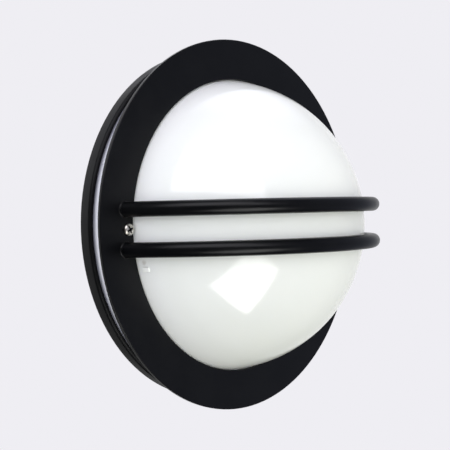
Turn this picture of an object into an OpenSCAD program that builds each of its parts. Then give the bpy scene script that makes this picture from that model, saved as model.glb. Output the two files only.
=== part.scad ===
// Round outdoor bulkhead light: a black pan on the wall or ceiling, an opal dome,
// and a flat black ring that clamps the dome and carries two bent guard bars.
// The light stands upright: its back lies in the plane Y = 0, it faces -Y, and +Z is up.
// Flat pieces are drawn lying down, with z out from the wall, and upright() stands them up.

/* [Front ring] */
// Outer diameter of the front ring
ring_d = 250; // [225:1:290]
// Width of the ring's flat face, from its edge to its opening
ring_w = 26.65; // [24:0.05:32]
// Thickness of the front ring
ring_t = 2.4; // [1.6:0.1:4]
// Gap between the dome and the ring's opening, at the ring's front face
ring_gap = 1; // [0.7:0.1:2]
// Chamfer on the ring's edges
ring_edge = 0.4; // [0.2:0.1:0.7]

/* [Diffuser] */
// How far the opal dome stands out in front of the ring
dome_rise = 79.7; // [71:0.1:90]
// Wall of the opal plastic
opal_t = 3; // [2.4:0.1:3.6]
// Height of the white skirt that shows between the pan and the ring
band_h = 15.1; // [13:0.1:25]
// Rounding where the skirt turns into the flange
skirt_round = 1.2; // [0.5:0.1:2]
// Width of the locating nib on the dome
nib_w = 2.9; // [2:0.1:5]
// Length of the nib, out from the ring
nib_len = 4.6; // [3:0.1:8]
// How far the nib stands off the dome
nib_rise = 0.8; // [0.4:0.1:1.2]
// Angle of the nib below the horizontal
nib_angle = 15; // [12:1:40]

/* [Guard bars] */
// Diameter of each bar
bar_d = 9.5; // [7:0.1:11]
// Distance between the two bars, centre to centre
bar_pitch = 24.8; // [22:0.1:40]
// Gap between a bar and the dome's front
bar_gap = 1.2; // [1:0.1:4]
// Land between a bar's foot and the ring's opening
foot_land = 1.2; // [0.8:0.1:4]
// Leg of the weld bead round each bar's foot
weld_leg = 0.7; // [0.3:0.1:1]

/* [Base pan] */
// How far the pan's edge is set back inside the ring's edge
pan_inset = 6.7; // [4:0.1:9]
// Height of the pan's rim above the wall
pan_h = 9.1; // [8.5:0.1:14]
// Wall of the rim
pan_wall = 2.4; // [2:0.1:3]
// Thickness of the floor
pan_floor = 2.2; // [2:0.1:3]
// Rounding of the rim's outer edge
pan_round = 2.1; // [0.5:0.1:2.6]
// Wall of the inner rib that keeps the rim gasket in place
rib_t = 2; // [1.6:0.1:2.4]
// Height of the rib above the gasket's seat
rib_rise = 4; // [3:0.1:5]
// Diameter of the two screw pillars
pillar_d = 9; // [8:0.1:10]

/* [Seals] */
// Side clearance of the skirt in the pan's rim
skirt_gap = 0.4; // [0.2:0.1:0.8]
// Clearance between the skirt and the rib
rib_gap = 1; // [0.6:0.1:1.4]
// Thickness of the rim gasket under the skirt
rim_seal_t = 1.8; // [1:0.1:2.5]
// Height of the rim gasket's seat above the wall
seal_seat = 4; // [3.6:0.1:4.5]
// Width of the foam gasket on the wall side
wall_seal_w = 4; // [3:0.1:4.5]
// Thickness of the foam gasket when pressed flush
wall_seal_t = 1.2; // [0.8:0.1:1.6]
// Thickness of the sealing washer on each pillar
washer_t = 0.9; // [0.6:0.1:1.5]
// Diameter of the supply cable that the grommet takes
cable_d = 10; // [7:0.5:11]

/* [Wall fixing] */
// Distance between the two fixing slots
slot_pitch = 150; // [140:1:160]
// Width of each slot
slot_w = 5.5; // [4.5:0.1:6.5]
// Length of each slot, end to end
slot_len = 12; // [8:0.5:16]

/* [Ring screws] */
// Thread diameter
screw_d = 4; // [3:0.1:4.5]
// Diameter of the pan head
head_d = 7.4; // [6.6:0.1:8]
// Height of the head
head_h = 2.3; // [1.8:0.1:3]
// Length under the head
screw_len = 16; // [14:0.5:17]
// Land between the head and the ring's opening
head_land = 0.55; // [0.4:0.05:1]

/* [Reflector] */
// Gap between the white reflector tray and the line of the ring's opening
tray_gap = 6.35; // [5.5:0.05:9]
// Sheet thickness of the tray
tray_t = 0.8; // [0.6:0.1:1.2]
// Height of the tray's underside above the wall
tray_z = 18.4; // [18.2:0.1:19]
// Distance of each tray screw from the tray's edge
tray_screw_in = 13; // [11:0.5:15]

/* [Lampholder and lamp] */
// Gap between the lamp's globe and the tray
lamp_gap = 4.3; // [3:0.1:6]
// Height of the lampholder's back, below the light's centre
holder_back = 59; // [56:0.5:62]
// Outer diameter of the lampholder
holder_d = 39; // [37:0.5:40]
// Wall of the lampholder's mouldings
holder_wall = 2; // [1.6:0.1:2.4]
// Diameter of the lamp's screw cap
cap_d = 26.2; // [25.8:0.1:26.6]
// Diameter of the lamp's globe
globe_d = 55; // [45:1:56]
// Sheet thickness of the lampholder's bracket
bracket_t = 1.5; // [1:0.1:2]
// Width of the bracket
bracket_w = 24; // [20:0.5:26]
// Outer diameter of the hollow nipple
nipple_d = 10; // [9:0.1:10]

/* [Terminals] */
// Distance between two poles of the terminal block
pole_pitch = 10; // [9.5:0.1:11]
// Length of the block along its wires
block_l = 22; // [20:0.5:24]
// Gap between the block and the tray above it
block_gap = 0.8; // [0.6:0.1:2]
// Diameter of an insulated wire
wire_d = 2.2; // [1.8:0.1:2.6]

/* [Hidden] */
$fn = 96;
eps = 0.01;
running = 0.05;
slack = 0.2;
ring_r = ring_d / 2;
pan_r = ring_r - pan_inset;
bar_r = bar_d / 2;

// The dome's sphere, from the circle where it meets the ring's face and its rise
open_r = ring_r - ring_w;
join_r = open_r - ring_gap;
dome_r = (join_r * join_r + dome_rise * dome_rise) / (2 * dome_rise);
dome_sink = dome_r - dome_rise;

// Heights above the wall of the main seats
ring_front = pan_h + band_h + ring_t;
ring_back = ring_front - ring_t;
dome_z = ring_front - dome_sink;
flange_z = ring_back - opal_t;
pillar_top = flange_z - washer_t;
skirt_foot = seal_seat + rim_seal_t;
tray_top = tray_z + tray_t;
lamp_out = tray_top + globe_d / 2 + lamp_gap;

// Radii that follow one another outwards
screw_r = open_r + head_land + head_d / 2;
rim_in = pan_r - pan_wall;
skirt_r = rim_in - skirt_gap;
rib_out = skirt_r - opal_t - rib_gap;
rib_in = rib_out - rib_t;
rim_corner = min(pan_round, pan_wall - 0.2);
tray_r = open_r - tray_gap;
tray_screw_r = tray_r - tray_screw_in;

// Each bar is one arc in a plane of its own, through its feet and a point in front of the dome
bar_foot_x = open_r + foot_land + bar_r;
bar_rise = sqrt(dome_r * dome_r - bar_pitch * bar_pitch / 4) - dome_sink + bar_gap + bar_r;
bar_bend = (bar_rise * bar_rise + bar_foot_x * bar_foot_x) / (2 * bar_rise);
bar_sink = bar_bend - bar_rise;
bar_foot_angle = asin(bar_sink / bar_bend);

// Where the supply enters and is clamped, in the plane of the wall
entry_x = -42;
entry_y = 0;
entry_hole_r = cable_d / 2 + 3;
entry_lip = 2.6;
entry_neck_top = 4;
entry_nose = 10;
clamp_x = -16;
clamp_w = 8;
clamp_wall = 1.6;
clamp_foot = 2.5;
clamp_screw_y = cable_d / 2 + clamp_wall + 3.4;
boss_top = 6.2;

// Small machine screws inside the pan
small_d = 3;
small_head_d = 5.6;
small_head_h = 1.8;
tray_screw_len = 8;
clamp_bite = 3.4;

// Terminal block and earth point
block_x = 14;
block_w = 3 * pole_pitch;
block_h = tray_z - boss_top - block_gap;
block_top = boss_top + block_h;
clamp_z = boss_top + 4.4;
tube_r = 2.5;
tube_bore = 1.6;
fix_d = 2;
fix_head_d = 3.6;
fix_head_h = 1.4;
web_h = 4.6;
tube_len = block_l - 5;
well_x = 5;
well_r = 1.7;
earth_x = 42;
earth_y = 26;
earth_top = 8.2;
earth_washer_t = 0.8;
earth_lug_t = 0.8;
earth_shank = 6;

// Lampholder stations, measured up from its back along the lamp's axis
dome_len = 22;
hub_len = 8;
insert_seat = 12;
insert_len = 14;
rim_len = 54;
sleeve_len = 17;
contact_rise = 3;
nut_t = 3;
nut_af = 14;
nipple_back = 6;
nipple_in = 7;
cap_len = 23;
insulator_len = 4;
globe_len = 98;
bracket_foot = 26;
bracket_bend = 1.5;
rivet_x = 7;
rivet_in = 17;
rivet_d = 3.2;
bush_hole_r = 5;
bush_lip = 1.4;
bush_x = bracket_w / 2 + bush_hole_r + bush_lip + 1.6;
bush_y = -(tray_r - 20);
nipple_bore_r = nipple_d / 2 - 1;
insert_front = -holder_back + insert_seat + insert_len;
lamp_base = insert_front + contact_rise;

// Stands a piece up: x stays, y becomes up, and z points out from the wall
module upright() {
    rotate([90, 0, 0])
        children();
}

// Puts the children at the left and right ring screw
module at_ring_screws() {
    for (side = [-1, 1])
        translate([side * screw_r, 0, 0])
            children();
}

// Puts the children at the upper and lower tray screw
module at_tray_screws() {
    for (side = [-1, 1])
        translate([0, side * tray_screw_r, 0])
            children();
}

// A washer, bush or collar standing on z = 0
module collar(outer, inner, height) {
    difference() {
        cylinder(r = outer, h = height);
        translate([0, 0, -1])
            cylinder(r = inner, h = height + 2);
    }
}

// A round-ended slot, cut down from z = 0
module slot_cut(length, width, depth) {
    flat = length - width;
    translate([0, 0, -depth]) {
        for (end = [-1, 1])
            translate([end * flat / 2, 0, 0])
                cylinder(d = width, h = depth);
        translate([-flat / 2, -width / 2, 0])
            cube([flat, width, depth]);
    }
}

// A pan-head screw with a cross recess: the head stands on z = 0, the shank hangs below
module pan_screw(shank_d, length, cap_d, cap_h) {
    edge_h = cap_h * 0.45;
    crown = cap_h - edge_h;
    crown_r = (cap_d * cap_d / 4 + crown * crown) / (2 * crown);
    difference() {
        union() {
            rotate_extrude()
                intersection() {
                    square([cap_d / 2, cap_h]);
                    translate([0, cap_h - crown_r])
                        circle(r = crown_r);
                }
            translate([0, 0, -length])
                cylinder(d = shank_d, h = length + cap_h * 0.3);
        }
        for (turn = [45, 135])
            translate([0, 0, cap_h])
                rotate([0, 0, turn])
                    cube([cap_d * 0.56, cap_d * 0.15, cap_h * 1.1], center = true);
    }
}

// A pillar with a blind hole in its top, standing on the floor of the pan
module tapped_boss(outer_r, top, hole_r, hole_depth) {
    difference() {
        translate([0, 0, pan_floor - eps])
            cylinder(r1 = outer_r + 0.5, r2 = outer_r, h = top - pan_floor + eps);
        translate([0, 0, top - hole_depth])
            cylinder(r = hole_r, h = hole_depth + 1);
    }
}

// The pan's section: floor, rounded rim, gasket seat and the rib inside it
module pan_section() {
    difference() {
        polygon([
            [0, 0], [pan_r - 0.5, 0], [pan_r, 0.5], [pan_r, pan_h], [rim_in, pan_h],
            [rim_in, seal_seat], [rib_out, seal_seat], [rib_out, seal_seat + rib_rise],
            [rib_in, seal_seat + rib_rise], [rib_in - 0.6, pan_floor], [0, pan_floor]
        ]);
        translate([pan_r - rim_corner, pan_h - rim_corner])
            difference() {
                square(rim_corner + 1);
                circle(r = rim_corner);
            }
    }
}

module base_pan() {
    seal_mid = (rib_out + rim_in) / 2;
    color("#17181a")
        upright()
            difference() {
                union() {
                    rotate_extrude()
                        pan_section();
                    at_ring_screws()
                        tapped_boss(pillar_d / 2, pillar_top, screw_d / 2 + running,
                            screw_len - ring_front + pillar_top + 1);
                    for (side = [0, 180])
                        rotate([0, 0, side])
                            pillar_web();
                    at_tray_screws()
                        tapped_boss(small_d / 2 + 2.5, tray_z, small_d / 2 + running, tray_screw_len + 1);
                    for (side = [-1, 1])
                        translate([clamp_x, side * clamp_screw_y, 0])
                            tapped_boss(small_d / 2 + 1.7, boss_top, small_d / 2 + running, clamp_bite + 0.5);
                    translate([earth_x, earth_y, 0])
                        tapped_boss(4.5, earth_top, screw_d / 2 + running, earth_shank + 0.5);
                    translate([block_x - block_l / 2, -block_w / 2, pan_floor - eps])
                        cube([block_l, block_w, boss_top - pan_floor + eps]);
                    translate([entry_x, entry_y, pan_floor - eps])
                        cylinder(r = entry_hole_r + entry_lip + 1, h = entry_neck_top - pan_floor + eps);
                    for (side = [-1, 1])
                        translate([side * slot_pitch / 2, 0, pan_floor])
                            slot_boss();
                }
                translate([0, 0, -1])
                    rotate_extrude()
                        translate([seal_mid - wall_seal_w / 2 - slack, 0])
                            square([wall_seal_w + 2 * slack, wall_seal_t + 1]);
                for (side = [-1, 1])
                    translate([side * slot_pitch / 2, 0, pan_floor + 3])
                        slot_cut(slot_len, slot_w, pan_floor + 4);
                translate([entry_x, entry_y, -1]) {
                    cylinder(r = entry_hole_r, h = entry_neck_top + 2);
                    cylinder(r = entry_hole_r + entry_lip + slack, h = wall_seal_t + 1);
                }
                for (side = [-1, 1])
                    translate([block_x, side * pole_pitch / 2, boss_top - 3.6])
                        cylinder(d = fix_d + 2 * running, h = 5);
            }
}

// The raised pad that stiffens the floor round a fixing slot
module slot_boss() {
    translate([0, 0, 1])
        slot_cut(slot_len + 6, slot_w + 6, 1 + eps);
}

// The web that ties a screw pillar to the rib
module pillar_web() {
    web_in = screw_r + screw_d / 2 + 1;
    translate([web_in, -1, pan_floor - eps])
        cube([rib_in - web_in, 2, seal_seat + rib_rise - pan_floor]);
}

module wall_gasket() {
    seal_mid = (rib_out + rim_in) / 2;
    color("#3a3b3d")
        upright()
            collar(seal_mid + wall_seal_w / 2, seal_mid - wall_seal_w / 2, wall_seal_t);
}

// Stepped grommet: a lip behind the floor, a neck through it and a nose that grips the cable
module cable_grommet() {
    color("#2a2b2c")
        upright()
            translate([entry_x, entry_y, 0])
                rotate_extrude()
                    polygon([
                        [cable_d / 2, slack], [entry_hole_r + entry_lip, slack],
                        [entry_hole_r + entry_lip, wall_seal_t], [entry_hole_r - running, wall_seal_t],
                        [entry_hole_r - running, entry_neck_top],
                        [entry_hole_r + entry_lip * 0.8, entry_neck_top],
                        [entry_hole_r + entry_lip * 0.8, entry_neck_top + 1.4],
                        [cable_d / 2 + 1.4, entry_nose], [cable_d / 2, entry_nose]
                    ]);
}

// Flat seal in the rim's channel, with a soft ridge each side of the skirt's foot
module rim_gasket() {
    inner = rib_out + running;
    outer = rim_in - running;
    foot_in = skirt_r - opal_t;
    color("#4a4b4c")
        upright()
            rotate_extrude()
                polygon([
                    [inner, seal_seat], [outer, seal_seat], [outer, skirt_foot],
                    [foot_in - 0.2, skirt_foot], [foot_in - 0.5, skirt_foot + 0.6],
                    [inner, skirt_foot + 0.6]
                ]);
}

// The opal moulding's section: dome, flat flange under the ring, and skirt down to the seal
module diffuser_section() {
    difference() {
        union() {
            intersection() {
                translate([0, dome_z])
                    circle(r = dome_r);
                translate([0, flange_z])
                    square([dome_r + 1, dome_r * 2]);
            }
            translate([0, flange_z])
                square([skirt_r, opal_t]);
            translate([skirt_r - opal_t, skirt_foot])
                square([opal_t, flange_z - skirt_foot + eps]);
        }
        translate([0, dome_z])
            circle(r = dome_r - opal_t);
        translate([-dome_r - 1, 0])
            square([dome_r + 1, dome_r * 3]);
        translate([skirt_r - skirt_round, ring_back - skirt_round])
            difference() {
                square(skirt_round + 1);
                circle(r = skirt_round);
            }
    }
}

// The nib that the ring's opening is lined up with
module locating_nib() {
    nib_low = ring_front + 2.6;
    off_low = nib_low - dome_z;
    off_high = off_low + nib_len;
    near = sqrt(dome_r * dome_r - off_low * off_low) + nib_rise;
    far = sqrt(dome_r * dome_r - off_high * off_high) - opal_t / 2;
    rotate([0, 0, 180 + nib_angle])
        translate([far, -nib_w / 2, nib_low])
            cube([near - far, nib_w, nib_len]);
}

module diffuser() {
    color("#f2f1ec")
        upright()
            difference() {
                union() {
                    rotate_extrude()
                        diffuser_section();
                    locating_nib();
                }
                at_ring_screws()
                    translate([0, 0, flange_z - 1])
                        cylinder(d = screw_d + 0.8, h = opal_t + 2);
            }
}

module front_ring() {
    c = ring_edge;
    color("#141416")
        upright()
            difference() {
                rotate_extrude()
                    polygon([
                        [open_r + c, ring_back], [ring_r - c, ring_back], [ring_r, ring_back + c],
                        [ring_r, ring_front - c], [ring_r - c, ring_front],
                        [open_r + c, ring_front], [open_r, ring_front - c], [open_r, ring_back + c]
                    ]);
                at_ring_screws()
                    translate([0, 0, ring_back - 1])
                        cylinder(d = screw_d + 0.4, h = ring_t + 2);
            }
}

// One round bar bent over the dome, cut flat where it stands on the ring, with its weld beads
module guard_bar() {
    spare = 4;
    difference() {
        union() {
            translate([0, bar_sink - ring_front, 0])
                rotate([0, 0, 180 + bar_foot_angle - spare])
                    rotate_extrude(angle = 180 - 2 * bar_foot_angle + 2 * spare)
                        translate([bar_bend, 0])
                            circle(r = bar_r);
            for (side = [-1, 1])
                translate([side * bar_foot_x, -ring_front + 1, 0])
                    rotate([90, 0, 0])
                        cylinder(r1 = bar_r + weld_leg + 1, r2 = bar_r - 1, h = weld_leg + 2);
        }
        translate([-ring_r, -ring_front, -bar_d])
            cube([ring_d, ring_front, 2 * bar_d]);
    }
}

module guard_bar_upper() {
    color("#141416")
        translate([0, 0, bar_pitch / 2])
            guard_bar();
}

module guard_bar_lower() {
    color("#141416")
        translate([0, 0, -bar_pitch / 2])
            guard_bar();
}

module ring_screw(side) {
    color("#c9c6bd")
        upright()
            translate([side * screw_r, 0, ring_front])
                pan_screw(screw_d, screw_len, head_d, head_h);
}

module screw_seals() {
    color("#2a2b2c")
        upright()
            at_ring_screws()
                translate([0, 0, pillar_top])
                    collar(pillar_d / 2 - 0.3, screw_d / 2 + 0.1, washer_t);
}

// White pressed-steel dish that hides the wiring and throws the light forward
module reflector_tray() {
    flat_r = tray_r - 7;
    rise = min(2, flange_z - tray_top - 0.4);
    color("#f4f4f2")
        upright()
            difference() {
                rotate_extrude()
                    polygon([
                        [0, tray_z], [flat_r, tray_z], [tray_r - 2, tray_z + rise], [tray_r, tray_z + rise],
                        [tray_r, tray_top + rise], [tray_r - 2.4, tray_top + rise],
                        [flat_r - 0.4, tray_top], [0, tray_top]
                    ]);
                at_tray_screws()
                    translate([0, 0, tray_z - 1])
                        cylinder(d = small_d + 0.4, h = tray_t + 2);
                translate([bush_x, bush_y, tray_z - 1])
                    cylinder(r = bush_hole_r, h = tray_t + 2);
                for (side = [-1, 1])
                    translate([side * rivet_x, -holder_back + rivet_in, tray_z - 1])
                        cylinder(d = rivet_d, h = tray_t + 2);
            }
}

module tray_screws() {
    color("#c9c6bd")
        upright()
            at_tray_screws()
                translate([0, 0, tray_top])
                    pan_screw(small_d, tray_screw_len, small_head_d, small_head_h);
}

// Bent strip: a foot on the tray and an upright with a round head behind the lampholder
module holder_bracket() {
    back = -holder_back - bracket_t;
    outer_bend = bracket_bend + bracket_t;
    head_top = lamp_out;
    color("#b9bcbf")
        upright()
            difference() {
                union() {
                    translate([-bracket_w / 2, 0, 0])
                        rotate([90, 0, 90])
                            linear_extrude(bracket_w)
                                bracket_side(back, outer_bend, head_top);
                    translate([0, back, lamp_out])
                        rotate([-90, 0, 0])
                            cylinder(d = bracket_w, h = bracket_t);
                }
                translate([0, back - 1, lamp_out])
                    rotate([-90, 0, 0])
                        cylinder(d = nipple_d + 2 * running, h = bracket_t + 2);
                for (side = [-1, 1])
                    translate([side * rivet_x, -holder_back + rivet_in, tray_top - 1])
                        cylinder(d = rivet_d, h = bracket_t + 2);
            }
}

// The bracket seen from its side, with the bend drawn as two arcs
module bracket_side(back, outer_bend, head_top) {
    difference() {
        translate([back, tray_top])
            square([bracket_foot, head_top - tray_top]);
        translate([back + bracket_t + bracket_bend, tray_top + bracket_t])
            square([bracket_foot, head_top]);
        translate([back + bracket_t, tray_top + outer_bend])
            square([bracket_foot, head_top]);
        translate([back + outer_bend, tray_top + outer_bend])
            circle(r = bracket_bend);
        translate([back - 1, tray_top - 1])
            difference() {
                square(outer_bend + 1);
                translate([outer_bend + 1, outer_bend + 1])
                    circle(r = outer_bend);
            }
    }
}

module bracket_rivets() {
    grip = tray_t + bracket_t;
    color("#c9c6bd")
        upright()
            for (side = [-1, 1])
                translate([side * rivet_x, -holder_back + rivet_in, tray_z]) {
                    cylinder(d = rivet_d - 2 * running, h = grip);
                    translate([0, 0, grip])
                        cylinder(d1 = rivet_d + 2.6, d2 = rivet_d, h = 1.1);
                    translate([0, 0, -0.7])
                        cylinder(d = rivet_d + 1.8, h = 0.7);
                }
}

// Moves the children to the lamp's axis, with z measured up from the lampholder's back
module on_lamp_axis() {
    translate([0, -lamp_out, -holder_back])
        children();
}

module holder_nipple() {
    color("#b9bcbf")
        on_lamp_axis()
            translate([0, 0, -bracket_t - nipple_back])
                collar(nipple_d / 2, nipple_bore_r, bracket_t + nipple_back + nipple_in);
}

module holder_locknut() {
    color("#b9bcbf")
        on_lamp_axis()
            translate([0, 0, -bracket_t - nut_t])
                difference() {
                    cylinder(d = nut_af / cos(30), h = nut_t, $fn = 6);
                    translate([0, 0, -1])
                        cylinder(d = nipple_d + 2 * running, h = nut_t + 2);
                }
}

// Rear moulding of the lampholder, with the threaded hub that takes the nipple
module holder_dome() {
    outer = holder_d / 2;
    hub = nipple_d / 2 + running;
    color("#1d1d1f")
        on_lamp_axis()
            rotate_extrude()
                polygon([
                    [hub, 0], [hub + 5, 0], [outer - 3, 8], [outer, 14], [outer, dome_len],
                    [outer - holder_wall, dome_len], [outer - holder_wall, 14],
                    [outer - 3 - holder_wall, 9.4], [hub + 4, 2.2], [hub + 2, 3], [hub + 2, hub_len],
                    [hub, hub_len]
                ]);
}

// Porcelain core that carries the contacts and the wire terminals
module holder_insert() {
    core_r = holder_d / 2 - holder_wall - running;
    color("#e6e2d6")
        on_lamp_axis()
            translate([0, 0, insert_seat])
                difference() {
                    union() {
                        cylinder(r = core_r - 3.5, h = insert_len);
                        translate([0, 0, 4])
                            cylinder(r = core_r, h = insert_len - 6);
                    }
                    for (side = [-1, 1])
                        translate([side * 6.5, 0, -1])
                            cylinder(r = 2, h = 5);
                    translate([-2.2, -2.2, insert_len - 2])
                        cube([4.4, 4.4, 3]);
                }
}

// Front moulding: an outer skirt, a turned-in lip and the inner sleeve round the lamp's cap
module holder_skirt() {
    outer = holder_d / 2;
    sleeve = cap_d / 2 + 0.5;
    base = dome_len;
    color("#1d1d1f")
        on_lamp_axis()
            rotate_extrude()
                polygon([
                    [outer - holder_wall, base], [outer, base], [outer, rim_len - 1.5],
                    [outer - 1.5, rim_len], [sleeve, rim_len], [sleeve, rim_len - sleeve_len],
                    [sleeve + 1.4, rim_len - sleeve_len], [sleeve + 1.4, rim_len - 2],
                    [outer - holder_wall, rim_len - 2]
                ]);
}

// Sprung brass tongue on the core's face that meets the lamp's tip
module centre_contact() {
    color("#c8a24a")
        on_lamp_axis()
            translate([0, 0, insert_seat + insert_len]) {
                translate([-2, -2, -2])
                    cube([4, 4, 2.4]);
                translate([-2, -2, 0])
                    cube([9, 4, 0.4]);
                cylinder(r = 2, h = contact_rise);
            }
}

// Brass tongue that stands up beside the cap and touches its thread
module side_contact() {
    reach = cap_d / 2;
    color("#c8a24a")
        on_lamp_axis()
            translate([0, 0, insert_seat + insert_len]) {
                translate([-reach - 0.4, -2.5, 0])
                    cube([5, 5, 0.4]);
                translate([-reach - 0.4, -2.5, 0])
                    cube([0.4, 5, 9.8]);
            }
}

// Sealed opal lamp, drawn solid: neck, shoulder and globe in one smooth outline
module lamp_bulb() {
    globe_r = globe_d / 2;
    neck_z = insulator_len + cap_len;
    globe_z = globe_len - globe_r;
    neck_r = cap_d / 2 - 0.6;
    color("#fbfaf4")
        translate([0, -lamp_out, lamp_base])
            rotate_extrude()
                difference() {
                    union() {
                        translate([0, globe_z])
                            circle(r = globe_r);
                        polygon([
                            [0, neck_z], [neck_r, neck_z], [neck_r + 0.6, neck_z + 8],
                            [globe_r * 0.8, globe_z - globe_r * 0.6], [0, globe_z]
                        ]);
                    }
                    translate([-globe_d, 0])
                        square([globe_d, globe_len + 1]);
                }
}

// The lamp's screw cap, with the rounded turns of its thread as rings
module lamp_cap() {
    turns = 6;
    turn_h = 3.2;
    root = cap_d / 2 - 0.9;
    color("#c6c8ca")
        translate([0, -lamp_out, lamp_base + insulator_len])
            rotate_extrude()
                polygon(concat(
                    [[0, 0], [root - 2, 0]],
                    [for (i = [0 : turns - 1]) for (k = [0, 1])
                        [root + (k == 1 ? 0.9 : 0), 1 + (i + k * 0.5) * turn_h]],
                    [[root, 1 + turns * turn_h], [root, cap_len], [0, cap_len]]
                ));
}

module lamp_insulator() {
    color("#20201f")
        translate([0, -lamp_out, lamp_base])
            difference() {
                translate([0, 0, 1])
                    cylinder(r1 = 6, r2 = cap_d / 2 - 2.9, h = insulator_len - 1);
                cylinder(r = 4.5, h = 2);
            }
}

module lamp_contact() {
    color("#b7b9bb")
        translate([0, -lamp_out, lamp_base])
            cylinder(r1 = 3.5, r2 = 4.5, h = 2);
}

// Three-pole block: one tower for each pole, joined by thin webs that take the fixing screws
module terminal_block() {
    tower = pole_pitch - 2.2;
    color("#ecebe4")
        upright()
            translate([block_x, 0, boss_top])
                difference() {
                    union() {
                        for (pole = [-1 : 1])
                            translate([-block_l / 2, pole * pole_pitch - tower / 2, 0])
                                cube([block_l, tower, block_h]);
                        translate([-block_l / 4, -block_w / 2, 0])
                            cube([block_l / 2, block_w, web_h]);
                    }
                    for (pole = [-1 : 1]) {
                        translate([-block_l / 2 - 1, pole * pole_pitch, clamp_z - boss_top])
                            rotate([0, 90, 0])
                                cylinder(r = tube_r, h = block_l + 2);
                        for (end = [-1, 1])
                            translate([end * well_x, pole * pole_pitch, clamp_z - boss_top])
                                cylinder(r = well_r + running, h = block_h);
                    }
                    for (side = [-1, 1])
                        translate([0, side * pole_pitch / 2, 0]) {
                            translate([0, 0, -1])
                                cylinder(d = fix_d + 0.2, h = block_h);
                            translate([0, 0, web_h])
                                cylinder(d = fix_head_d + 0.3, h = block_h);
                        }
                }
}

// Brass tubes that slide into the block, one for each pole
module terminal_clamps() {
    color("#c8a24a")
        upright()
            for (pole = [-1 : 1])
                translate([block_x, pole * pole_pitch, clamp_z])
                    difference() {
                        rotate([0, 90, 0])
                            cylinder(r = tube_r - running, h = tube_len, center = true);
                        rotate([0, 90, 0])
                            cylinder(r = tube_bore, h = tube_len + 2, center = true);
                        for (end = [-1, 1])
                            translate([end * well_x, 0, 0])
                                cylinder(r = well_r - 0.3, h = tube_r + 1);
                    }
}

module terminal_screws() {
    top = block_top - clamp_z - 1.2;
    color("#c8a24a")
        upright()
            for (pole = [-1 : 1], end = [-1, 1])
                translate([block_x + end * well_x, pole * pole_pitch, clamp_z])
                    difference() {
                        union() {
                            translate([0, 0, wire_d / 2])
                                cylinder(r = well_r - 0.4, h = top - wire_d / 2);
                            translate([0, 0, tube_r])
                                cylinder(r = well_r, h = top - tube_r);
                        }
                        translate([0, 0, top])
                            cube([0.6, 3 * well_r, 1.6], center = true);
                    }
}

module block_screws() {
    color("#c9c6bd")
        upright()
            for (side = [-1, 1])
                translate([block_x, side * pole_pitch / 2, boss_top + web_h])
                    pan_screw(fix_d, web_h + 3, fix_head_d, fix_head_h);
}

// Saddle that presses the supply cable against the floor
module cord_clamp() {
    span = 2 * clamp_screw_y + 7;
    cable_z = pan_floor + cable_d / 2 - boss_top;
    color("#dcdad2")
        upright()
            translate([clamp_x, 0, boss_top])
                difference() {
                    union() {
                        translate([-clamp_w / 2, -span / 2, 0])
                            cube([clamp_w, span, clamp_foot]);
                        translate([-clamp_w / 2, 0, cable_z])
                            rotate([0, 90, 0])
                                cylinder(r = cable_d / 2 + clamp_wall, h = clamp_w);
                    }
                    translate([-clamp_w / 2 - 1, 0, cable_z])
                        rotate([0, 90, 0])
                            cylinder(r = cable_d / 2, h = clamp_w + 2);
                    translate([-clamp_w, -span, -2 * cable_d])
                        cube([2 * clamp_w, 2 * span, 2 * cable_d]);
                    for (side = [-1, 1])
                        translate([0, side * clamp_screw_y, -1])
                            cylinder(d = small_d + 0.4, h = clamp_foot + 2);
                }
}

module clamp_screws() {
    color("#c9c6bd")
        upright()
            for (side = [-1, 1])
                translate([clamp_x, side * clamp_screw_y, boss_top + clamp_foot])
                    pan_screw(small_d, clamp_foot + clamp_bite, small_head_d, small_head_h);
}

module earth_screw() {
    color("#c9c6bd")
        upright()
            translate([earth_x, earth_y, earth_top + earth_washer_t + earth_lug_t])
                pan_screw(screw_d, earth_washer_t + earth_lug_t + earth_shank, head_d, head_h);
}

// Serrated washer that bites through the paint
module earth_washer() {
    teeth = 10;
    color("#b9bcbf")
        upright()
            translate([earth_x, earth_y, earth_top])
                difference() {
                    cylinder(r = 4, h = earth_washer_t);
                    translate([0, 0, -1])
                        cylinder(d = screw_d + 0.2, h = earth_washer_t + 2);
                    for (i = [0 : teeth - 1])
                        rotate([0, 0, i * 360 / teeth])
                            translate([3.3, -0.35, -1])
                                cube([2, 0.7, earth_washer_t + 2]);
                }
}

// Ring tag crimped on the earth wire
module earth_lug() {
    color("#c6c8ca")
        upright()
            translate([earth_x, earth_y, earth_top + earth_washer_t])
                difference() {
                    union() {
                        cylinder(r = 3.9, h = earth_lug_t);
                        translate([-1.8, -11, 0])
                            cube([3.6, 9, earth_lug_t]);
                        translate([0, -11, earth_lug_t / 2 + 0.9])
                            rotate([90, 0, 0])
                                cylinder(r = wire_d / 2 + 0.6, h = 5);
                    }
                    translate([0, 0, -1])
                        cylinder(d = screw_d + 0.2, h = earth_lug_t + 2);
                    translate([0, -9, earth_lug_t / 2 + 0.9])
                        rotate([90, 0, 0])
                            cylinder(d = wire_d + 4 * running, h = 9);
                }
}

// Rubber bush that guards the two lamp wires where they pass the tray
module wire_bush() {
    color("#2a2b2c")
        upright()
            translate([bush_x, bush_y, tray_z])
                rotate_extrude()
                    polygon([
                        [wire_d + 0.5, -bush_lip], [bush_hole_r + bush_lip, -bush_lip],
                        [bush_hole_r + bush_lip, 0], [bush_hole_r - running, 0],
                        [bush_hole_r - running, tray_t], [bush_hole_r + bush_lip, tray_t],
                        [bush_hole_r + bush_lip, tray_t + bush_lip],
                        [wire_d + 0.5, tray_t + bush_lip]
                    ]);
}

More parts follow.
